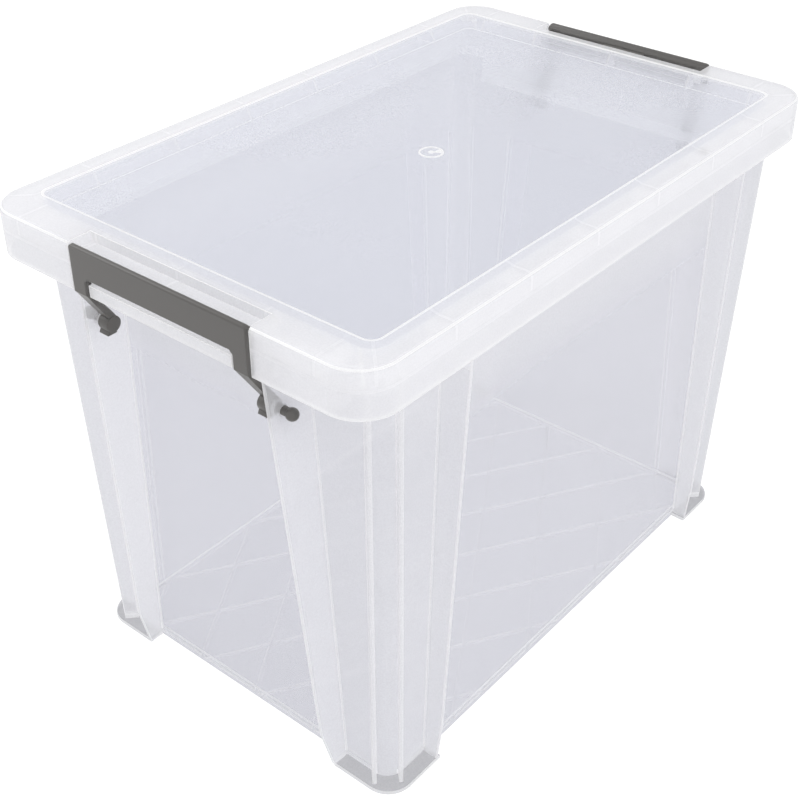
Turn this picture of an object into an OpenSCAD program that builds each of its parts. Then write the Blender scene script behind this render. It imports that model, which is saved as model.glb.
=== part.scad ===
// Clip-lid file box: a clear ribbed tub, a clear lid with a recessed panel, and two grey clip handles.
// Millimetres, +Z up. The origin is under the middle of the box, on the plane of the feet.
// X runs along the box, from the front handle at -X to the rear handle at +X.

/* [Lid] */
// Length of the lid over its skirt
lid_length = 395; // [370:1:430]
// Width of the lid over its skirt
lid_width = 250; // [236:1:280]
// Height from the feet to the flat border of the lid
box_height = 286; // [230:1:330]
// Radius of the lid's corners, seen from above
lid_corner = 21; // [19:0.5:26]
// Depth of the skirt that hangs from the border
skirt_depth = 25.7; // [24:0.1:28]
// Thickness of the lid
lid_wall = 2; // [1.6:0.1:2.2]
// Radius of the edge between the border and the skirt
lid_edge = 3; // [2.6:0.1:4]
// Width of the border at the ends, out to the crest of the ridge
end_border = 22.7; // [21:0.1:24]
// Width of the border along the sides, out to the crest of the ridge
side_border = 15.4; // [14:0.1:18]
// Height of the ridge above the border
ridge_height = 1.1; // [0.6:0.1:2]
// Width of the ridge's outer slope
ridge_slope = 3; // [2:0.1:4]
// Depth of the panel below the border
panel_depth = 6.5; // [4:0.1:8]
// How far the step leans in from the ridge to the panel
step_lean = 2.3; // [1:0.1:3]
// Radius of the panel's corners at the crest of the ridge
panel_corner = 6; // [5:0.5:10]
// Thickness of the stiffening ribs under the border
lid_rib = 1.6; // [1.2:0.1:2]
// Ribs along each side of the lid
side_ribs = 6; // [4:1:7]
// Distance between the ribs along the sides
side_rib_pitch = 55.3; // [45:0.1:55.5]
// Distance from the middle of an end to its outer pair of ribs
end_rib_place = 97; // [92:0.5:98]
// Distance from the middle of an end to the ribs behind the notch
notch_rib_place = 56; // [45:0.5:58]
// Diameter of the gate mark in the middle of the panel
gate_mark = 14; // [8:0.5:20]

/* [Notch for the clip handle] */
// How far the notch reaches in from the end of the lid
notch_reach = 14.2; // [13:0.1:15]
// Depth of the notch's shelf below the border
shelf_drop = 5.4; // [5:0.1:6]
// How far the wall behind the handle stands back from the end of the lid
notch_wall_back = 4; // [3.8:0.1:5]
// Depth of the top of the band of skirt that crosses below the handle's bar
band_drop = 19.2; // [19.2:0.1:21]

/* [Tub] */
// Thickness of the tub's walls and floor
wall = 2; // [1.6:0.1:2.4]
// How far the lid overhangs the tub's end wall at the rim
end_overhang = 30; // [28:0.1:31]
// How far the lid overhangs the tub's side wall at the rim
side_overhang = 17.4; // [17:0.1:20]
// How far each end wall leans in from the rim to the base
end_taper = 4.8; // [2:0.1:8]
// How far each side wall leans in from the rim to the base
side_taper = 1.8; // [1:0.1:6]
// Radius of the tub's upright corners
tub_corner = 11; // [9:0.5:14]
// Depth of the rim below the border of the lid
rim_drop = 10; // [9.5:0.1:11]
// Free space between the rim and the lid's skirt
rim_gap = 1.2; // [0.8:0.1:2]
// Width of the collar that steps out from the side walls under the rim
collar_step = 7; // [5:0.1:8]
// Depth of the collar's underside below the border of the lid
collar_drop = 24; // [20:0.1:25]
// Width of the ledge for file hooks at each end
ledge_step = 15; // [12:0.1:15.4]
// Depth of the ledge below the border of the lid
ledge_drop = 38; // [34:0.1:38.2]
// Length of the ledge, across the box
ledge_length = 182; // [140:1:190]
// Thickness of the gussets under the rim
gusset = 1.6; // [1.2:0.1:2]
// Distance between the gussets along the sides
gusset_pitch = 43.5; // [38:0.1:46]

/* [Fins, feet and floor ribs] */
// Thickness of the deep fins
fin = 2.2; // [1.8:0.1:2.6]
// How far an end fin spreads towards the corner for each millimetre down
end_fin_spread = 0.042; // [0:0.001:0.05]
// Free space between the lid's skirt and the end fins, seen from above
end_fin_inset = 4.3; // [4:0.1:8]
// Slope of the end fins' outer edges, out for each millimetre up
end_fin_slope = 0.065; // [0.04:0.001:0.07]
// Distance from the middle of the side to a fin, at the skirt
side_fin_place = 125.2; // [110:0.1:130]
// How far a side fin spreads towards the corner for each millimetre down
side_fin_spread = 0.031; // [0:0.001:0.04]
// How far the side fins stand back from the outside of the skirt
side_fin_inset = 0.8; // [0.6:0.1:4]
// Slope of the side fins' outer edges, out for each millimetre up
side_fin_slope = 0.031; // [0.02:0.001:0.035]
// Thickness of the pair of ribs on each corner
corner_rib = 2.2; // [1.8:0.1:2.6]
// Distance of each corner rib from the corner's diagonal
corner_rib_place = 7.1; // [5:0.1:8]
// How far the corner ribs stand out from the corner's centre, at the feet
corner_rib_reach = 13.5; // [12.5:0.1:14.5]
// Slope of the corner ribs' outer edges, out for each millimetre up
corner_rib_slope = 0.036; // [0.01:0.001:0.04]
// Length of each foot along the end and along the side
foot_length = 41; // [30:0.5:50]
// How far the feet stand out from the base of the walls
foot_reach = 9; // [7.5:0.1:10]
// Thickness of the feet
foot_height = 2.2; // [1.8:0.1:3]
// Height at which the fins start to draw in to the feet
fin_heel = 29; // [20:0.5:40]
// Height of the walls' lower edge and the floor ribs above the feet's underside
base_lift = 0.6; // [0.4:0.1:1]
// Depth of the ribs under the floor
floor_rib = 1.5; // [1:0.1:2]
// Width of the ribs under the floor
floor_rib_width = 2.2; // [1.5:0.1:3]
// Distance between neighbouring ribs of the diamond lattice
lattice_pitch = 38; // [30:0.5:50]
// Angle between the lattice's ribs and the box's length
lattice_angle = 31.5; // [20:0.5:45]

/* [Clip handle] */
// Width of the handle over its bar
handle_width = 116; // [108:0.5:124]
// How far the handle's face stands out past the lid's skirt
handle_proud = 0.7; // [0.4:0.1:1]
// Thickness of the handle's face
handle_wall = 2.2; // [2:0.1:2.5]
// Depth of the bar, from the border of the lid down
bar_depth = 16.1; // [16:0.1:17]
// Depth of the bar's top below the border
bar_sink = 0.1; // [0:0.1:0.5]
// Radius of the bar's upper outer edge
bar_roll = 1.5; // [1.2:0.1:1.8]
// Radius of the bar's upper corners
bar_corner = 2; // [1:0.1:3]
// How far the bar's lip reaches back from its face
lip_reach = 4.5; // [4.2:0.1:4.6]
// How far the lip falls from the bar's top to its back edge
lip_drop = 2.3; // [1.8:0.1:2.6]
// Thickness of the lip at its back edge
lip_edge = 1.7; // [1:0.1:1.8]
// How far the hook reaches past the lip, over the lid's shelf
hook_reach = 1.6; // [1.2:0.1:2]
// Slope of the hook's underside, down for each millimetre out
hook_slope = 0.65; // [0.64:0.01:0.75]
// Thickness of the hook at its tip
hook_tip = 1.2; // [1:0.1:1.4]
// Width of the hook in the middle of the bar
hook_width = 29.6; // [20:0.5:40]
// Width of each arm beside the slot
arm_width = 8.8; // [8:0.1:9.4]
// How much narrower the sloping arms are at the pins
arm_taper = 2.6; // [1.5:0.1:3]
// Depth of each arm's channel, from the handle's face
arm_depth = 4; // [3.6:0.1:4.2]
// Distance of the pivot pins below the border
pin_drop = 48.5; // [48:0.1:52]
// Distance of the pivot pins in from the lid's end
pin_inset = 14.1; // [13.5:0.1:14.5]
// Radius of the boss around the pin
boss_radius = 4.4; // [4:0.1:4.7]
// Width of the boss along the pin
boss_width = 7; // [6:0.1:8]
// Thickness of the sloping arms, front to back
slope_arm = 4.4; // [3.6:0.1:4.6]
// Diameter of the pivot pins
pin = 4.65; // [4:0.05:5]
// Diameter of the ball on each pin's end
pin_ball = 6.6; // [6:0.1:7.5]

/* [Clearances] */
// Gap between the ends of the handle's bar and the notch in the lid
notch_gap = 1.5; // [1:0.1:2.5]
// Gap between the handle's arms and the band of skirt between them
band_gap = 1.6; // [1.4:0.1:3]
// Gap between the handle's arms and the end fins, at the pins
arm_gap = 3.7; // [3:0.1:4.5]
// Clearance between the hook's underside and the lid's shelf
hook_gap = 0.4; // [0.3:0.05:0.6]
// Gap between the lid's ribs and the rim that they rest on
lid_gap = 0.3; // [0.2:0.05:0.4]
// Clearance all round a pivot pin
pin_gap = 0.075; // [0.05:0.005:0.1]
// Gap between a boss and the collar on its fin
boss_gap = 1; // [0.8:0.1:1.4]
// Thickness of the collars round the pin holes
pin_collar = 1.5; // [1.2:0.1:1.8]
// Gap between the top of the outer fins and the skirt
fin_gap = 0.7; // [0.5:0.1:1]

/* [Hidden] */
$fn = 48;

clear_plastic = [0.87, 0.89, 0.93, 0.55];
grey_plastic = [0.38, 0.37, 0.36];

overlap = 0.01;  // how far a cut runs past a face
big = 1000;      // longer than anything in the box

// Levels, measured up from the feet
lid_top = box_height;
skirt_bottom = lid_top - skirt_depth;
shelf_top = lid_top - shelf_drop;
band_top = lid_top - band_drop;
rim_top = lid_top - rim_drop;
rim_bottom = rim_top - wall;
collar_bottom = lid_top - collar_drop;
ledge_bottom = lid_top - ledge_drop - wall;
pin_height = lid_top - pin_drop;
fin_top = skirt_bottom - fin_gap;
floor_bottom = base_lift + floor_rib;
floor_top = floor_bottom + wall;

// Half sizes, measured out from the middle of the box
lid_x = lid_length / 2;
lid_y = lid_width / 2;
crest_x = lid_x - end_border;
crest_y = lid_y - side_border;
rim_x = lid_x - lid_wall - rim_gap;
rim_y = lid_y - lid_wall - rim_gap;
wall_x = lid_x - end_overhang;
wall_y = lid_y - side_overhang;
base_x = wall_x - end_taper;
base_y = wall_y - side_taper;
ledge_x = wall_x + ledge_step;
collar_y = wall_y + collar_step;
notch_width = handle_width + 2 * notch_gap;
band_width = handle_width - 2 * arm_width - 2 * band_gap;
end_fin_place = handle_width / 2 + arm_gap + fin / 2;
foot_x = base_x + foot_reach;
foot_y = base_y + foot_reach;
pin_x = lid_x - pin_inset;
face_x = lid_x + handle_proud;
notch_x = lid_x - notch_reach;
notch_wall_x = lid_x - notch_wall_back;
rib_bottom = rim_top + lid_gap;
step_root = ridge_slope - lid_wall;
bar_top = lid_top - bar_sink;
hook_x = face_x - lip_reach - hook_reach;
hook_low = shelf_top + hook_gap;
arm_y = handle_width / 2;
ball_y = end_fin_place + fin / 2 + pin_ball * 0.75;

// ---------------------------------------------------------------- shared shapes

// A rounded rectangle from its half sizes, with true arcs
module rounded(hx, hy, r) {
    square([2 * hx, 2 * (hy - r)], center = true);
    square([2 * (hx - r), 2 * hy], center = true);
    for (sx = [-1, 1], sy = [-1, 1])
        translate([sx * (hx - r), sy * (hy - r)]) circle(r);
}

// The same rectangle as a block between two levels
module block(hx, hy, r, low, high) {
    translate([0, 0, low]) linear_extrude(high - low) rounded(hx, hy, r);
}

// A plain box from its lowest corner to its highest
module span(low, high) {
    translate(low) cube(high - low);
}

// Runs a profile round a rounded rectangle; the profile's +X points outwards and its +Y up
module run_round(hx, hy, r) {
    for (turn = [0, 180]) {
        rotate(turn) translate([hx, hy - r, 0]) rotate([90, 0, 0])
            linear_extrude(2 * (hy - r)) children();
        rotate(turn) translate([-hx + r, hy, 0]) rotate([90, 0, 90])
            linear_extrude(2 * (hx - r)) children();
    }
    for (corner = [[1, 1, 0], [-1, 1, 90], [-1, -1, 180], [1, -1, 270]])
        translate([corner[0] * (hx - r), corner[1] * (hy - r), 0]) rotate(corner[2])
            rotate_extrude(angle = 90) translate([r, 0]) children();
}

// Stands a profile drawn in X and Z up, and gives it a thickness along Y
module upright(thick) {
    rotate([90, 0, 0]) translate([0, 0, -thick / 2]) linear_extrude(thick) children();
}

// A copy at each end of the box
module both_ends() {
    children();
    rotate(180) children();
}

// A copy on each side of the middle, across the box
module both_sides() {
    children();
    mirror([0, 1, 0]) children();
}

// ---------------------------------------------------------------- lid

// Skirt, with the rounded edge to the border
module skirt_profile() {
    translate([-lid_wall, skirt_bottom]) square([lid_wall, skirt_depth - lid_edge]);
    translate([-lid_edge, lid_top - lid_edge]) intersection() {
        difference() {
            circle(lid_edge);
            circle(lid_edge - lid_wall);
        }
        square(lid_edge);
    }
}

// Ridge round the panel, and the step down to it
module ridge_profile() {
    crest = min(1.2, ridge_slope / 3);
    polygon([
        [ridge_slope + lid_wall, lid_top],
        [crest, lid_top + ridge_height],
        [-crest / 2, lid_top + ridge_height],
        [-step_lean, lid_top - panel_depth],
        [-step_lean, lid_top - panel_depth - lid_wall],
        [step_root - step_lean, lid_top - panel_depth - lid_wall],
        [step_root + crest, lid_top - lid_wall],
        [ridge_slope + lid_wall, lid_top - lid_wall],
    ]);
}

module border() {
    difference() {
        block(lid_x - lid_edge, lid_y - lid_edge, lid_corner - lid_edge, lid_top - lid_wall, lid_top);
        block(crest_x + ridge_slope, crest_y + ridge_slope, panel_corner + ridge_slope,
              lid_top - lid_wall - overlap, lid_top + overlap);
    }
}

module panel() {
    low = lid_top - panel_depth - lid_wall;
    ring = 1.2;
    rise = 0.5;
    block(crest_x - step_lean, crest_y - step_lean, panel_corner - step_lean, low, low + lid_wall);
    translate([0, 0, low + lid_wall - overlap]) {
        difference() {
            cylinder(d = gate_mark, h = rise);
            translate([0, 0, -overlap]) cylinder(d = gate_mark - 2 * ring, h = rise + 2 * overlap);
        }
        cylinder(d = gate_mark / 4, h = rise);
    }
}

// One rib under the border, out from the step; X is measured from the ridge's crest
module border_rib(reach) {
    foot = step_root / 2 - step_lean;
    top = lid_top - lid_wall / 2;
    upright(lid_rib) polygon([[foot, rib_bottom], [step_root, top], [reach, top], [reach, rib_bottom]]);
}

// Upright ribs that hang from the border and rest on the tub's rim
module border_ribs() {
    for (i = [0 : side_ribs - 1], turn = [90, -90])
        translate([(i - (side_ribs - 1) / 2) * side_rib_pitch, 0, 0]) rotate(turn)
            translate([crest_y, 0, 0]) border_rib(side_border - lid_wall / 2);
    for (side = [-1, 1]) both_ends()
        translate([crest_x, side * end_rib_place, 0]) border_rib(end_border - lid_wall / 2);
    for (sx = [-1, 1], sy = [-1, 1])
        translate([sx * (lid_x - lid_corner), sy * (lid_y - lid_corner), 0]) rotate(atan2(sy, sx))
            span([0, -lid_rib / 2, rib_bottom],
                 [lid_corner - lid_wall / 2, lid_rib / 2, lid_top - lid_wall / 2]);
}

// Room for the handle: the shelf that its hook holds, the wall behind it and the band below the bar
module notch_cut() {
    half = notch_width / 2;
    span([notch_x, -half, shelf_top], [lid_x + big, half, lid_top + big]);
    span([notch_wall_x, -half, skirt_bottom - big], [lid_x + big, half, lid_top + big]);
}

module notch_fill() {
    half = notch_width / 2;
    band = band_width / 2;
    hook_line = shelf_top - hook_slope * (notch_wall_x - hook_x);
    upright(notch_width + lid_wall) polygon([
        [notch_x - lid_wall, lid_top - lid_wall / 2],
        [notch_x - lid_wall, shelf_top - lid_wall],
        [notch_wall_x - lid_wall, shelf_top - lid_wall],
        [notch_wall_x - lid_wall, skirt_bottom],
        [notch_wall_x, skirt_bottom],
        [notch_wall_x, hook_line],
        [hook_x, shelf_top],
        [notch_x, shelf_top],
        [notch_x, lid_top - lid_wall / 2],
    ]);
    both_sides() {
        span([notch_x - lid_wall, half, shelf_top - lid_wall],
             [lid_x - lid_edge, half + lid_wall, lid_top]);
        span([notch_wall_x - lid_wall, half, skirt_bottom],
             [lid_x - lid_wall / 2, half + lid_wall, shelf_top]);
        span([notch_wall_x - overlap, band - lid_wall, skirt_bottom], [lid_x - overlap, band, band_top]);
    }
    span([notch_wall_x - overlap, -band, band_top - lid_wall], [lid_x - overlap, band, band_top]);
    span([lid_x - lid_wall, -band, skirt_bottom], [lid_x, band, band_top]);
}

module lid() color(clear_plastic) {
    difference() {
        union() {
            run_round(lid_x, lid_y, lid_corner) skirt_profile();
            border();
            border_ribs();
        }
        both_ends() notch_cut();
    }
    run_round(crest_x, crest_y, panel_corner) ridge_profile();
    panel();
    both_ends() {
        notch_fill();
        for (y = [-notch_rib_place, 0, notch_rib_place])
            translate([crest_x, y, 0]) border_rib(end_border - notch_reach - lid_wall / 2);
    }
}

// ---------------------------------------------------------------- tub

// The tapered body between the base and the rim, drawn in by a margin
module body_taper(margin, low, high) {
    lean = [end_taper, side_taper] / (rim_bottom - base_lift);
    hull() for (z = [low, high])
        translate([0, 0, z - overlap * (z == high ? 1 : 0)]) linear_extrude(overlap)
            rounded(wall_x - margin - lean[0] * (rim_bottom - z),
                    wall_y - margin - lean[1] * (rim_bottom - z),
                    tub_corner - margin, $fn = 32);
}

// Deep fin on an end, which carries a pivot pin
module end_fin() {
    outer = lid_x - end_fin_inset;
    heel_x = outer - end_fin_slope * (fin_top - fin_heel);
    turn = 4;
    lean = atan(end_fin_spread);
    translate([pin_x, end_fin_place, pin_height]) rotate([lean, 0, -turn])
        translate([-pin_x, 0, -pin_height]) upright(fin) polygon([
            [base_x - wall / 2, floor_bottom],
            [foot_x - wall / 4, foot_height / 2],
            [heel_x, fin_heel],
            [outer, fin_top],
            [ledge_x - wall / 2, fin_top],
            [ledge_x - wall / 2, rim_bottom],
            [wall_x - wall / 2, rim_bottom],
        ]);
}

// Collar round the pin hole, on the inner side of an end fin
module pin_collar() {
    translate([pin_x, arm_y + boss_gap, pin_height]) rotate([-90, 0, 0])
        cylinder(d = pin + 2 * pin_gap + 2 * pin_collar, h = arm_gap - boss_gap + fin / 2);
}

// Deep fin on a long side
module side_fin() {
    outer = lid_y - side_fin_inset;
    heel_y = outer - side_fin_slope * (fin_top - fin_heel);
    lean = atan(side_fin_spread);
    translate([side_fin_place, 0, fin_top]) rotate([0, -lean, 0]) rotate(90) translate([0, 0, -fin_top])
        upright(fin) polygon([
            [base_y - wall / 2, floor_bottom],
            [foot_y - wall / 4, foot_height / 2],
            [heel_y, fin_heel],
            [outer, fin_top],
            [collar_y - wall / 2, fin_top],
            [collar_y - wall / 2, collar_bottom + wall / 2],
            [wall_y - wall / 2, collar_bottom + wall / 2],
        ]);
}

// The pair of thin ribs that run down each rounded corner
module corner_ribs() {
    centre_x = wall_x - end_taper / 2 - tub_corner;
    centre_y = wall_y - side_taper / 2 - tub_corner;
    translate([centre_x, centre_y, 0]) rotate(45) for (side = [-1, 1])
        translate([0, side * corner_rib_place, 0]) upright(corner_rib) polygon([
            [tub_corner / 2, foot_height / 2],
            [corner_rib_reach, foot_height / 2],
            [corner_rib_reach + corner_rib_slope * (rim_bottom - foot_height), rim_bottom + wall / 2],
            [tub_corner / 2, rim_bottom + wall / 2],
        ]);
}

// One foot: a flat flange that wraps the corner
module foot() {
    inner = 3;
    difference() {
        intersection() {
            block(foot_x, foot_y, tub_corner + foot_reach / 2, 0, foot_height);
            span([foot_x - foot_length, foot_y - foot_length, 0], [foot_x + 1, foot_y + 1, foot_height]);
        }
        block(base_x - inner, base_y - inner, tub_corner - inner, -overlap, floor_bottom);
    }
}

// Diamond lattice of ribs under the floor
module floor_lattice() {
    reach = ceil(lid_length / lattice_pitch);
    shift = [lattice_pitch * 0.6, lattice_pitch * 0.13];  // the lattice isn't centred on the box
    intersection() {
        block(base_x - wall / 2, base_y - wall / 2, tub_corner - wall / 2,
              base_lift, floor_bottom + wall / 2);
        translate([0, 0, base_lift]) linear_extrude(floor_rib + wall / 2)
            for (family = [[-lattice_angle, shift[0]], [lattice_angle, shift[1]]], i = [-reach : reach])
                rotate(family[0])
                    translate([-lid_length, i * lattice_pitch + family[1] - floor_rib_width / 2])
                    square([2 * lid_length, floor_rib_width]);
    }
}

// Rim, collar and hook ledges, solid; the inside is cut away later
module rim_solid() {
    rim_corner = lid_corner - lid_wall - rim_gap;
    notch_room = notch_width / 2 + lid_wall + rim_gap;
    difference() {
        block(rim_x, rim_y, rim_corner, rim_bottom, rim_top);
        both_ends() span([notch_wall_x - lid_wall - rim_gap, -notch_room, rim_bottom - overlap],
                         [lid_x, notch_room, rim_top + overlap]);
    }
    block(ledge_x, collar_y, tub_corner + collar_step / 2, collar_bottom, rim_top);
    block(ledge_x, ledge_length / 2, tub_corner / 2, ledge_bottom, rim_top);
}

module inside_cut() {
    body_taper(wall, floor_top, rim_bottom);
    block(wall_x - wall, wall_y - wall, tub_corner - wall, rim_bottom - 1, rim_top + 1);
    block(ledge_x - wall, collar_y - wall, tub_corner + collar_step / 2 - wall,
          collar_bottom + wall, rim_top + 1);
    block(ledge_x - wall, ledge_length / 2 - wall, tub_corner / 2, ledge_bottom + wall, rim_top + 1);
}

module gussets() {
    middle = [(collar_y - wall / 2 + rim_y - wall) / 2, (collar_bottom + rim_top) / 2];
    for (i = [-2.5 : 1 : 2.5], side = [-1, 1])
        translate([i * gusset_pitch, side * middle[0], middle[1]])
            cube([gusset, rim_y - collar_y - wall / 2, rim_top - collar_bottom - wall], center = true);
}

module tub() color(clear_plastic) difference() {
    union() {
        body_taper(0, base_lift, rim_bottom);
        rim_solid();
        gussets();
        for (end = [0, 1]) mirror([end, 0, 0]) both_sides() {
            end_fin();
            pin_collar();
            side_fin();
            corner_ribs();
            foot();
        }
    }
    inside_cut();
    difference() {
        block(base_x - wall, base_y - wall, tub_corner - wall, -overlap, floor_bottom);
        floor_lattice();
    }
    both_ends() both_sides()
        translate([pin_x, end_fin_place, pin_height]) rotate([90, 0, 0])
            cylinder(d = pin + 2 * pin_gap, h = 6 * fin, center = true);
}

// ---------------------------------------------------------------- clip handle

// Bar with its rounded upper edge and the lip that falls back from it
module bar_profile() {
    translate([face_x - bar_roll, bar_top - bar_roll]) circle(bar_roll);
    translate([face_x - handle_wall, lid_top - bar_depth])
        square([handle_wall, bar_depth - bar_sink - bar_roll]);
    polygon([
        [face_x - bar_roll, bar_top],
        [face_x - lip_reach, bar_top - lip_drop],
        [face_x - lip_reach, bar_top - lip_drop - lip_edge],
        [face_x - handle_wall / 2, bar_top - lip_drop - lip_edge],
    ]);
}

// Wall that closes each end of the bar, from the lip down to the arm
module bar_end_profile() {
    fall = lip_drop / (lip_reach - bar_roll);
    polygon([
        [face_x - bar_roll, bar_top],
        [face_x - arm_depth, bar_top - fall * (arm_depth - bar_roll)],
        [face_x - arm_depth, lid_top - bar_depth - 1],
        [face_x - handle_wall / 2, lid_top - bar_depth - 1],
        [face_x - handle_wall / 2, bar_top - bar_roll],
    ]);
}

// Hook that reaches over the lid's shelf
module hook_profile() {
    root = hook_low - hook_slope * (face_x - handle_wall - hook_x);
    polygon([
        [hook_x, hook_low],
        [hook_x, hook_low + hook_tip],
        [face_x - lip_reach, bar_top - lip_drop - lip_edge / 2],
        [face_x - handle_wall / 2, bar_top - lip_drop - lip_edge / 2],
        [face_x - handle_wall / 2, root],
        [face_x - handle_wall, root],
    ]);
}

// Arm beside the slot, seen from the side
module arm_profile() {
    translate([face_x - arm_depth, skirt_bottom]) square([arm_depth, skirt_depth - bar_depth + 1]);
}

// Sloping arm from there down to the boss
module slope_profile() {
    knee_gap = 0.5;  // the arm's back turns in below the wall of the notch
    waist = pin_height + boss_radius * 2;
    polygon([
        [face_x, skirt_bottom + 1],
        [face_x, skirt_bottom + knee_gap],
        [pin_x + boss_radius * 0.3, pin_height + boss_radius * 0.6],
        [pin_x - boss_radius * 0.8, pin_height + boss_radius * 0.5],
        [pin_x + boss_radius * 1.2 - slope_arm, waist],
        [face_x - arm_depth, skirt_bottom - knee_gap],
        [face_x - arm_depth, skirt_bottom + 1],
    ]);
}

// Boss round the pin, with the tooth at its lower front
module boss_profile() {
    translate([pin_x, pin_height]) {
        circle(boss_radius);
        polygon([
            [0, 0],
            [boss_radius * 0.62, -boss_radius * 0.42],
            [boss_radius, -boss_radius * 1.17],
            [-boss_radius * 0.35, -boss_radius * 1.17],
        ]);
    }
}

module handle() color(grey_plastic) {
    slot = arm_y - arm_width;
    chamfer = 2;
    upright(hook_width) hook_profile();
    intersection() {
        union() {
            upright(2 * arm_y) bar_profile();
            both_sides() {
                translate([0, arm_y - handle_wall / 2, 0]) upright(handle_wall) bar_end_profile();
                difference() {
                    translate([0, arm_y - arm_width / 2, 0]) upright(arm_width) arm_profile();
                    // the channel in the back of the arm
                    span([face_x - arm_depth - big, slot + handle_wall, skirt_bottom + handle_wall],
                         [face_x - handle_wall, arm_y - handle_wall, lid_top - bar_depth - overlap]);
                }
                // the slot's sloped upper corner
                translate([face_x - handle_wall / 2, slot, lid_top - bar_depth]) rotate(90)
                    upright(handle_wall)
                    polygon([[overlap, overlap], [-chamfer, overlap], [overlap, -chamfer]]);
            }
        }
        // the bar's rounded upper corners
        translate([face_x, 0, bar_top - box_height / 2]) rotate([90, 0, 90])
            linear_extrude(lid_corner, center = true) rounded(arm_y, box_height / 2, bar_corner);
    }
    both_sides() {
        intersection() {
            translate([0, arm_y - arm_width / 2, 0]) upright(arm_width) slope_profile();
            translate([pin_x - boss_radius, 0, 0]) rotate([90, 0, 90])
                linear_extrude(2 * lid_corner) polygon([
                    [slot, lid_top],
                    [slot, skirt_bottom],
                    [slot + arm_taper, pin_height],
                    [arm_y, pin_height],
                    [arm_y, lid_top],
                ]);
        }
        translate([0, arm_y - boss_width / 2, 0]) upright(boss_width) boss_profile();
        translate([pin_x, arm_y - overlap, pin_height]) rotate([-90, 0, 0])
            cylinder(d = pin, h = ball_y - arm_y);
        translate([pin_x, ball_y, pin_height]) sphere(d = pin_ball);
    }
}

module rear_handle() handle();

module front_handle() rotate(180) handle();

tub();
lid();
front_handle();
rear_handle();
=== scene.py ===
import math
import bpy
import bmesh
from mathutils import Matrix, Vector


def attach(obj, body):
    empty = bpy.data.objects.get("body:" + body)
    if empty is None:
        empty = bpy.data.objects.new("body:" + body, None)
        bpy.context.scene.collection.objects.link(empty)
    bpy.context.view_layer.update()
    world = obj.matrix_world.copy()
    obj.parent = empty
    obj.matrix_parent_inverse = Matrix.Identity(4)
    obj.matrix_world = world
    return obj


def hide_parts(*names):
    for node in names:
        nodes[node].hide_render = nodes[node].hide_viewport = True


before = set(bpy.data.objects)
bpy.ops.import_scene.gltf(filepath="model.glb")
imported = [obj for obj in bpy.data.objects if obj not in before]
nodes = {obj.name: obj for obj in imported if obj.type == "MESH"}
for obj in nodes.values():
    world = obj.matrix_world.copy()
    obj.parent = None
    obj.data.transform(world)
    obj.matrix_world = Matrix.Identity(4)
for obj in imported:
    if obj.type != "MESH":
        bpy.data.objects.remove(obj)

print("clear file box: frame loaded")
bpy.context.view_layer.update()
mm = 0.001


def linear(hexColour):  # sRGB hex to linear RGBA
    parts = [int(hexColour[i:i + 2], 16) / 255 for i in (1, 3, 5)]
    return [c / 12.92 if c <= 0.04045 else ((c + 0.055) / 1.055) ** 2.4 for c in parts] + [1.0]


def newMaterial(name):
    material = bpy.data.materials.new(name)
    material.use_nodes = True
    material.node_tree.nodes.clear()
    return material


def addNode(owner, kind, inputs=None, **settings):
    # inputs: socket name or index -> a value, or a (node, output) pair to link
    node = owner.node_tree.nodes.new(kind)
    for key, value in settings.items():
        setattr(node, key, value)
    for key, value in (inputs or {}).items():
        if isinstance(value, tuple) and len(value) == 2 and hasattr(value[0], "outputs"):
            owner.node_tree.links.new(value[0].outputs[value[1]], node.inputs[key])
        else:
            node.inputs[key].default_value = value
    return node


polypropylene = {
    "ior": 1.49,
    "roughness": 0.22,
    "clear": "#FEFEFE",      # what one face lets through of the light on its way in
    "tint": "#FBFBFD",       # and of what is seen through it
    "shade": 0.3,            # how much of the haze holds back light on its way in
    "peel": 2.6 * mm,        # waves of the moulded skin
    "peelDepth": 0.005 * mm,
    "grain": 0.9 * mm,       # specks in the haze, drawn as coarse as they need to show
    "grainShare": 0.05,
    "cloud": 70 * mm,        # slow changes of thickness, from the flow into the mould
    "cloudShare": 0.06,
    "noiseSpan": (0.3, 0.7),  # what a noise texture gives, mostly
    "graze": 0.3,            # haze gained where the wall is seen edge on
    "grazeBlend": 0.3,
    "thickFrom": 205 * mm,   # the tub's walls thicken from here up to the rim, and their haze with them
    "thickTo": 245 * mm,
}

# milk: colour of the haze; haze: its share of a face; glow: share of the haze that is lit from behind
tubWall = {"milk": "#ECECF0", "haze": 0.16, "glow": 0.5, "thick": 0.35}
tubRib = {"milk": "#F3F3F6", "haze": 0.36, "glow": 0.5}
tubRim = {"milk": "#F8F8FB", "haze": 0.6, "glow": 0.5}
# the feet's grey milk is painted shade, for the shade where the feet stand on the floor under the box
tubFootPaintedShade = {"milk": "#C4C4C7", "haze": 0.5, "glow": 0.5}
# the edges' whiter, cloudier milk is painted light: the glow of light coming out of a wall's edge
tubEdgePaintedLight = {"milk": "#FAFAFC", "haze": 0.66, "glow": 0.6}
lidPanel = {"milk": "#E8EBF3", "haze": 0.18, "glow": 0.5}
lidBorder = {"milk": "#FEFEFF", "haze": 0.36, "glow": 0.5}
# painted light too: bright lines on the lid's crest and edges, and a painted highlight on the middle of its
# rolled edge
lidEdgePaintedLight = {"milk": "#FFFFFF", "haze": 0.75, "glow": 0.3}

greyPlastic = {
    "colour": "#575553",
    "roughness": 0.38,
    "grain": 0.35 * mm,      # spark-eroded mould texture
    "grainDepth": 0.05 * mm,
    "grainStrength": 0.15,
    "grainDetail": 2.0,
}

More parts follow.
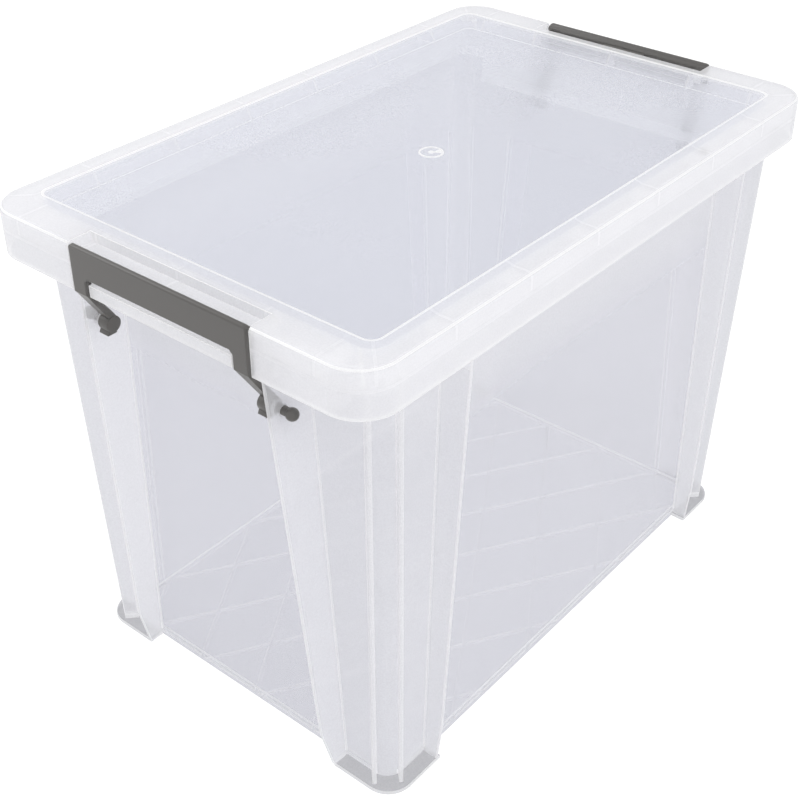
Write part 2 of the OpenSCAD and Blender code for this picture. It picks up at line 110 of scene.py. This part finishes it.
lidSinks = {
    "half": 0.8 * mm,        # half the width of a line
    "pitch": 55.3 * mm,      # of the ribs along each side
    "corner": 65.2 * mm,     # how much further along than across the corner's diagonal rib lies
    "end": 179 * mm,         # the ends' border starts here
    "outer": 97 * mm,        # the outer pair of ribs at each end
    "notch": 56 * mm,        # and the pair at the notch
    "low": 277 * mm,         # the lines stop here on their way down the skirt
    "flange": 275 * mm,      # the edge of the tub's rim shows through the skirt here
    "haze": 0.06,
}


def sinkLines(m, place, sinks):
    # pale lines on the lid: over the ribs below the border, and where the tub's rim shows through the skirt
    axes = addNode(m, "ShaderNodeSeparateXYZ", {0: (place, "Object")})
    along = addNode(m, "ShaderNodeMath", {0: (axes, 0), 1: sinks["pitch"] / 2}, operation="PINGPONG")
    across = addNode(m, "ShaderNodeMath", {0: (axes, 1)}, operation="ABSOLUTE")
    lengthwise = addNode(m, "ShaderNodeMath", {0: (axes, 0)}, operation="ABSOLUTE")
    onSide = addNode(m, "ShaderNodeMath", {0: (lengthwise, 0), 1: sinks["end"]}, operation="LESS_THAN")
    byRib = addNode(m, "ShaderNodeMath", {
        0: (along, 0), 1: sinks["pitch"] / 2, 2: sinks["half"]}, operation="COMPARE")
    sideLine = addNode(m, "ShaderNodeMath", {0: (onSide, 0), 1: (byRib, 0)}, operation="MULTIPLY")
    onEnd = addNode(m, "ShaderNodeMath", {0: (lengthwise, 0), 1: sinks["end"]}, operation="GREATER_THAN")
    outer = addNode(m, "ShaderNodeMath", {
        0: (across, 0), 1: sinks["outer"], 2: sinks["half"]}, operation="COMPARE")
    notch = addNode(m, "ShaderNodeMath", {
        0: (across, 0), 1: sinks["notch"], 2: sinks["half"]}, operation="COMPARE")
    middle = addNode(m, "ShaderNodeMath", {0: (across, 0), 1: sinks["half"]}, operation="LESS_THAN")
    endRibs = addNode(m, "ShaderNodeMath", {0: (outer, 0), 1: (notch, 0)}, operation="MAXIMUM")
    allEnd = addNode(m, "ShaderNodeMath", {0: (endRibs, 0), 1: (middle, 0)}, operation="MAXIMUM")
    endLine = addNode(m, "ShaderNodeMath", {0: (onEnd, 0), 1: (allEnd, 0)}, operation="MULTIPLY")
    diagonal = addNode(m, "ShaderNodeMath", {0: (lengthwise, 0), 1: (across, 0)}, operation="SUBTRACT")
    cornerLine = addNode(m, "ShaderNodeMath", {
        0: (diagonal, 0), 1: sinks["corner"], 2: sinks["half"] * math.sqrt(2)}, operation="COMPARE")
    straight = addNode(m, "ShaderNodeMath", {0: (sideLine, 0), 1: (endLine, 0)}, operation="MAXIMUM")
    line = addNode(m, "ShaderNodeMath", {0: (straight, 0), 1: (cornerLine, 0)}, operation="MAXIMUM")
    high = addNode(m, "ShaderNodeMath", {0: (axes, 2), 1: sinks["low"]}, operation="GREATER_THAN")
    ribs = addNode(m, "ShaderNodeMath", {0: (line, 0), 1: (high, 0)}, operation="MULTIPLY")
    flange = addNode(m, "ShaderNodeMath", {
        0: (axes, 2), 1: sinks["flange"], 2: sinks["half"]}, operation="COMPARE")
    return addNode(m, "ShaderNodeMath", {0: (ribs, 0), 1: (flange, 0)}, operation="MAXIMUM")


def clearPolypropylene(name, look, sinks=None):
    # injection-moulded polypropylene: clear with a milky haze, a faint peel in its gloss and fine specks
    common = polypropylene
    m = newMaterial(name)
    place = addNode(m, "ShaderNodeTexCoord")
    peel = addNode(m, "ShaderNodeTexNoise", {"Vector": (place, "Object"), "Scale": 1 / common["peel"]})
    bump = addNode(m, "ShaderNodeBump", {"Height": (peel, 0), "Distance": common["peelDepth"]})
    cloud = addNode(m, "ShaderNodeTexNoise", {"Vector": (place, "Object"), "Scale": 1 / common["cloud"]})
    speck = addNode(m, "ShaderNodeTexNoise", {"Vector": (place, "Object"), "Scale": 1 / common["grain"]})
    low, high = common["noiseSpan"]
    clouded = addNode(m, "ShaderNodeMapRange", {
        0: (cloud, 0), 1: low, 2: high, 3: 1 - common["cloudShare"], 4: 1 + common["cloudShare"]})
    specked = addNode(m, "ShaderNodeMapRange", {
        0: (speck, 0), 1: low, 2: high, 3: 1 - common["grainShare"], 4: 1 + common["grainShare"]})
    uneven = addNode(m, "ShaderNodeMath", {0: (clouded, 0), 1: (specked, 0)}, operation="MULTIPLY")
    edgeOn = addNode(m, "ShaderNodeLayerWeight", {"Blend": common["grazeBlend"]})
    gained = common["graze"] * (1 - look["haze"])
    haze = addNode(m, "ShaderNodeMath", {
        0: (edgeOn, "Facing"), 1: gained, 2: look["haze"]}, operation="MULTIPLY_ADD")
    if sinks:
        line = sinkLines(m, place, sinks)
        haze = addNode(m, "ShaderNodeMath", {
            0: (line, 0), 1: sinks["haze"], 2: (haze, 0)}, operation="MULTIPLY_ADD")
    if "thick" in look:
        axes = addNode(m, "ShaderNodeSeparateXYZ", {0: (place, "Object")})
        thick = addNode(m, "ShaderNodeMapRange", {
            0: (axes, 2), 1: common["thickFrom"], 2: common["thickTo"], 3: 0.0, 4: look["thick"]})
        haze = addNode(m, "ShaderNodeMath", {0: (haze, 0), 1: (thick, 0)}, operation="ADD")
    patchy = addNode(m, "ShaderNodeMath", {0: (haze, 0), 1: (uneven, 0)}, operation="MULTIPLY")
    path = addNode(m, "ShaderNodeLightPath")
    share = addNode(m, "ShaderNodeMath", {
        0: (path, "Is Camera Ray"), 1: 1 - common["shade"], 2: common["shade"]}, operation="MULTIPLY_ADD")
    seen = addNode(m, "ShaderNodeMath", {
        0: (patchy, 0), 1: (share, 0)}, operation="MULTIPLY", use_clamp=True)
    milk = linear(look["milk"])
    tint = addNode(m, "ShaderNodeMix", {
        0: (path, "Is Camera Ray"), 6: linear(common["clear"]), 7: linear(common["tint"])},
        data_type="RGBA")
    through = addNode(m, "ShaderNodeBsdfTransparent", {"Color": (tint, 2)})
    skin = addNode(m, "ShaderNodeBsdfPrincipled", {
        "Base Color": milk, "Roughness": common["roughness"], "IOR": common["ior"], "Normal": (bump, 0)})
    glow = addNode(m, "ShaderNodeBsdfTranslucent", {"Color": milk})
    body = addNode(m, "ShaderNodeMixShader", {0: look["glow"], 1: (skin, 0), 2: (glow, 0)})
    mixed = addNode(m, "ShaderNodeMixShader", {0: (seen, 0), 1: (through, 0), 2: (body, 0)})
    addNode(m, "ShaderNodeOutputMaterial", {"Surface": (mixed, 0)})
    return m


def satinGreyPlastic(name, look):
    # moulded polypropylene with grey colour right through: satin, with a fine spark-eroded grain
    m = newMaterial(name)
    place = addNode(m, "ShaderNodeTexCoord")
    grain = addNode(m, "ShaderNodeTexNoise", {
        "Vector": (place, "Object"), "Scale": 1 / look["grain"], "Detail": look["grainDetail"]})
    bump = addNode(m, "ShaderNodeBump", {
        "Height": (grain, 0), "Strength": look["grainStrength"], "Distance": look["grainDepth"]})
    skin = addNode(m, "ShaderNodeBsdfPrincipled", {
        "Base Color": linear(look["colour"]), "Roughness": look["roughness"], "Normal": (bump, 0)})
    addNode(m, "ShaderNodeOutputMaterial", {"Surface": (skin, 0)})
    return m


moulding = {
    "merge": 0.001 * mm,
    "flat": math.radians(0.3),    # faces within this are one face
    "sharp": math.radians(30),    # edges past this get rounded
    "round": 0.35 * mm,           # radius that the mould leaves on an edge
    "segments": 2,
    "narrow": 2.6 * mm,           # faces this narrow are edges of a wall, where its light comes out; their whiter edge look is painted light
    "broad": 4 * mm,              # faces broader than this are flat
    "down": -0.9,                 # upward share of the normal of a face that looks down
    "bounded": 0.45,              # share of a narrow face's outline that has to be sharp
    "fillet": 0.9 * mm,           # in the corner where a fin stands on a wall
    "crease": math.radians(50),   # edges past this still show as edges
}

tubForm = {
    "half": (165.3 * mm, 106.7 * mm),   # the walls' outer half sizes, halfway up
    "lean": (0.0178, 0.0067),           # how far they lean out for each metre up
    "corner": 11 * mm,
    "middle": 138 * mm,
    "skin": 0.4 * mm,                   # what stands out further than this is a rib
    "foot": 2.3 * mm,                   # the feet and the ribs under the floor lie below this
    "strips": (128 * mm, 66 * mm),      # past the fins the walls are cloudier, up to the corner
    "cuts": (6 * mm, 255 * mm),         # the fins part the walls between these heights
    "rim": 245 * mm,                    # the rim and its ledges lie above this
    "root": 60 * mm,                    # shortest rounded inner corner
    "roll": (2, 2),                     # no rolled edge: no normal's share reaches this
}

lidForm = {
    "half": (174.8 * mm, 109.6 * mm),   # the crest of the ridge
    "lean": (0, 0),
    "corner": 6 * mm,
    "middle": 286 * mm,
    "skin": 0.6 * mm,                   # the border starts here
    "foot": -1,                         # the lid has no foot, strips, rim or fins
    "strips": (9, 9),
    "cuts": (),
    "rim": 9,
    "root": 9,
    "roll": (0.5, 0.87),                # upward share of the normal on the middle of the rolled edge, which gets the edge look as a painted highlight
}


def wallGap(point, form):
    # how far a point lies outside the walls' rounded rectangle; less than nothing inside it
    rise = point.z - form["middle"]
    past = [abs(point[i]) - (form["half"][i] + form["lean"][i] * rise - form["corner"]) for i in (0, 1)]
    return math.hypot(max(past[0], 0), max(past[1], 0)) + min(max(past), 0) - form["corner"]


def isSharp(edge):
    return edge.is_manifold and edge.calc_face_angle() > moulding["sharp"]


def isRoot(edge, form):
    # the long straight corner where a fin stands on a wall, which shows as a pale line: its rounding gets
    # the edge look, painted light
    if not form or edge.calc_length() < form["root"]:
        return False
    return all(meanWidth(face) > moulding["broad"] for face in edge.link_faces)


def meanWidth(face):
    return 2 * face.calc_area() / max(face.calc_perimeter(), moulding["merge"])


def faceKind(face, form):
    # an edge gets a whiter look, which is painted light; a rib is cloudier than a wall, and the rim is
    # cloudier still
    outside = sum(wallGap(v.co, form) for v in face.verts) / len(face.verts)
    low, high = min(v.co.z for v in face.verts), max(v.co.z for v in face.verts)
    # the feet's low faces get the grey foot look: painted shade
    if high < form["foot"] and face.normal.z < moulding["down"]:
        return "foot" if outside > form["skin"] else "wall"
    if meanWidth(face) < moulding["narrow"]:
        bounded = sum(e.calc_length() for e in face.edges if isSharp(e))
        if bounded > moulding["bounded"] * face.calc_perimeter():
            return "edge"
    # the middle band of a rolled edge, picked by the tilt of its normal, gets the edge look: a painted
    # highlight
    if outside > form["skin"] and form["roll"][0] < face.normal.z < form["roll"][1]:
        return "edge"
    if outside <= form["skin"]:
        middle = face.calc_center_median()
        return "rib" if all(abs(middle[i]) > form["strips"][i] for i in (0, 1)) else "wall"
    if high < form["foot"]:
        return "foot"
    return "rim" if low > form["rim"] else "rib"


def rounded(mesh, edges, radius, last):
    made = bmesh.ops.bevel(mesh, geom=edges, offset=radius, offset_type="OFFSET", affect="EDGES",
                           segments=moulding["segments"], profile=0.5, clamp_overlap=False, material=-1)
    for face in made["faces"]:
        face.material_index = last


def moulded(name, body, materials, form=None):
    # the imported shape with every outer edge rounded, as a mould leaves it; the last material is for
    # edges, and its whiter look is painted light
    kinds = list(materials)
    mesh = bmesh.new()
    mesh.from_mesh(nodes[name].data)
    bmesh.ops.remove_doubles(mesh, verts=mesh.verts, dist=moulding["merge"])
    bmesh.ops.dissolve_limit(mesh, angle_limit=moulding["flat"], verts=mesh.verts, edges=mesh.edges,
                             use_dissolve_boundaries=False)
    for height in form["cuts"] if form else ():
        everything = mesh.verts[:] + mesh.edges[:] + mesh.faces[:]
        bmesh.ops.bisect_plane(mesh, geom=everything, dist=moulding["merge"],
                               plane_co=(0, 0, height), plane_no=(0, 0, 1))
    for face in mesh.faces:
        face.material_index = kinds.index(faceKind(face, form)) if form else 0
    roots = [e for e in mesh.edges if isSharp(e) and not e.is_convex and isRoot(e, form)]
    if roots:
        rounded(mesh, roots, moulding["fillet"], len(kinds) - 1)
    rounded(mesh, [e for e in mesh.edges if isSharp(e) and e.is_convex], moulding["round"], len(kinds) - 1)
    bmesh.ops.dissolve_degenerate(mesh, dist=moulding["merge"], edges=mesh.edges)
    for face in mesh.faces:
        face.smooth = meanWidth(face) < moulding["broad"]
    for edge in mesh.edges:
        edge.smooth = edge.is_manifold and edge.calc_face_angle() < moulding["crease"]
    data = bpy.data.meshes.new(name + "_moulded")
    mesh.to_mesh(data)
    mesh.free()
    for material in materials.values():
        data.materials.append(material)
    piece = bpy.data.objects.new(name + "_moulded", data)
    bpy.context.scene.collection.objects.link(piece)
    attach(piece, body)
    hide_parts(name)
    print("moulded", name)
    return piece


# the edge looks: painted light along edges, the crest, fin roots and the lid's rolled edge
tubEdgePaintedLightClear = clearPolypropylene("polypropyleneTubEdgePaintedLight", tubEdgePaintedLight)
lidEdgePaintedLightClear = clearPolypropylene("polypropyleneLidEdgePaintedLight", lidEdgePaintedLight)
wallClear = clearPolypropylene("polypropyleneTubWall", tubWall)
ribClear = clearPolypropylene("polypropyleneTubRib", tubRib)
rimClear = clearPolypropylene("polypropyleneTubRim", tubRim)
# grey foot look: painted shade
footPaintedShadeClear = clearPolypropylene("polypropyleneTubFootPaintedShade", tubFootPaintedShade)
panelClear = clearPolypropylene("polypropyleneLidPanel", lidPanel)
borderClear = clearPolypropylene("polypropyleneLidBorder", lidBorder, lidSinks)
satinGrey = satinGreyPlastic("satinGreyPlastic", greyPlastic)
moulded("tub", "tub", {
    "wall": wallClear, "rib": ribClear, "rim": rimClear, "foot": footPaintedShadeClear, "edge": tubEdgePaintedLightClear}, tubForm)
moulded("lid", "lid", {
    "wall": panelClear, "rib": borderClear, "edge": lidEdgePaintedLightClear}, lidForm)
for end in ("front", "rear"):
    moulded(end + "_handle", end + "_handle", {"skin": satinGrey})
print("pieces done")


studio = {
    "floor": 6.0,               # metres across
    "floorColour": "#E8E8E8",
    "floorThroughPaintedShade": "#D7D8DC",  # what the camera sees of the floor through the clear plastic: greyer, a painted shade
    "lift": 0.3,                # brings the floor that is seen bare up to white
    "bare": 0.5,                # a ray has passed no clear face if its count of them is below this
    "world": 0.88,
    "lamps": {
        "key": {"power": 8.0, "size": 1.4, "place": (-0.35, -1.5, 1.8)},
        "back": {"power": 10.0, "size": 1.0, "place": (-0.8, 1.6, 1.5)},  # for the handles' upper edges
    },
    "aim": (0, 0, 0.15),
}

camera = {
    "place": (-0.53374, -0.42492, 0.58815),
    "yaw": 39.02,            # degrees from +X towards +Y
    "pitch": 33.83,          # degrees down
    "roll": 0.32,
    "lens": 61.68,
    "sensor": 36.0,
    "shiftX": -0.0237,
    "shiftY": -0.0232,
    "near": 0.05,
    "far": 50.0,
}


def makeCamera(look):
    yaw, pitch, roll = (math.radians(look[k]) for k in ("yaw", "pitch", "roll"))
    ahead = Vector((math.cos(yaw) * math.cos(pitch), math.sin(yaw) * math.cos(pitch), -math.sin(pitch)))
    side = ahead.cross(Vector((0, 0, 1))).normalized()
    up = side.cross(ahead)
    right = side * math.cos(roll) + up * math.sin(roll)
    top = up * math.cos(roll) - side * math.sin(roll)
    data = bpy.data.cameras.new("camera")
    data.lens, data.sensor_width = look["lens"], look["sensor"]
    data.shift_x, data.shift_y = look["shiftX"], look["shiftY"]
    data.clip_start, data.clip_end = look["near"], look["far"]
    obj = bpy.data.objects.new("camera", data)
    turn = Matrix((right, top, -ahead)).transposed()
    obj.matrix_world = Matrix.Translation(look["place"]) @ turn.to_4x4()
    bpy.context.scene.collection.objects.link(obj)
    bpy.context.scene.camera = obj


def seenDirectly(owner):
    # 1 for the rays that show the background bare: straight or mirrored, and not through the clear plastic
    path = addNode(owner, "ShaderNodeLightPath")
    straight = addNode(owner, "ShaderNodeMath", {
        0: (path, "Is Camera Ray"), 1: (path, "Is Glossy Ray")}, operation="ADD")
    every = addNode(owner, "ShaderNodeMath", {
        0: (straight, 0), 1: (path, "Is Transmission Ray")}, operation="ADD", use_clamp=True)
    bare = addNode(owner, "ShaderNodeMath", {
        0: (path, "Transparent Depth"), 1: studio["bare"]}, operation="LESS_THAN")
    return addNode(owner, "ShaderNodeMath", {0: (every, 0), 1: (bare, 0)}, operation="MULTIPLY"), 0


def makeFloor(look):
    m = newMaterial("whiteFloor")
    path = addNode(m, "ShaderNodeLightPath")
    # the floor seen through the clear plastic gets a greyer colour: painted shade
    through = addNode(m, "ShaderNodeMath", {
        0: (path, "Transparent Depth"), 1: look["bare"]}, operation="GREATER_THAN")
    paintedShadeThrough = addNode(m, "ShaderNodeMath", {
        0: (through, 0), 1: (path, "Is Camera Ray")}, operation="MULTIPLY")
    colour = addNode(m, "ShaderNodeMix", {
        0: (paintedShadeThrough, 0), 6: linear(look["floorColour"]), 7: linear(look["floorThroughPaintedShade"])}, data_type="RGBA")
    matte = addNode(m, "ShaderNodeBsdfDiffuse", {"Color": (colour, 2)})
    strength = addNode(m, "ShaderNodeMath", {0: seenDirectly(m), 1: look["lift"]}, operation="MULTIPLY")
    white = addNode(m, "ShaderNodeEmission", {"Strength": (strength, 0)})
    mixed = addNode(m, "ShaderNodeAddShader", {0: (matte, 0), 1: (white, 0)})
    addNode(m, "ShaderNodeOutputMaterial", {"Surface": (mixed, 0)})
    mesh = bmesh.new()
    bmesh.ops.create_grid(mesh, x_segments=1, y_segments=1, size=look["floor"] / 2)
    data = bpy.data.meshes.new("floor")
    mesh.to_mesh(data)
    mesh.free()
    data.materials.append(m)
    obj = bpy.data.objects.new("floor", data)
    bpy.context.scene.collection.objects.link(obj)


def makeWorld(look):
    world = bpy.data.worlds.new("studio")
    world.use_nodes = True
    world.node_tree.nodes.clear()
    bpy.context.scene.world = world
    seen = addNode(world, "ShaderNodeBackground", {"Color": linear("#FFFFFF")})
    lit = addNode(world, "ShaderNodeBackground", {"Color": linear("#FFFFFF"), "Strength": look["world"]})
    mixed = addNode(world, "ShaderNodeMixShader", {0: seenDirectly(world), 1: (lit, 0), 2: (seen, 0)})
    addNode(world, "ShaderNodeOutputWorld", {"Surface": (mixed, 0)})


def makeLamp(name, look, aim):
    data = bpy.data.lights.new(name, "AREA")
    data.energy, data.size = look["power"], look["size"]
    obj = bpy.data.objects.new(name, data)
    obj.location = look["place"]
    obj.rotation_euler = (Vector(aim) - obj.location).to_track_quat("-Z", "Y").to_euler()
    bpy.context.scene.collection.objects.link(obj)


makeCamera(camera)
makeFloor(studio)
makeWorld(studio)
for name, lamp in studio["lamps"].items():
    makeLamp(name, lamp, studio["aim"])
scene = bpy.context.scene
scene.view_settings.view_transform = "Standard"
scene.cycles.transparent_max_bounces = 32

print("scene done")
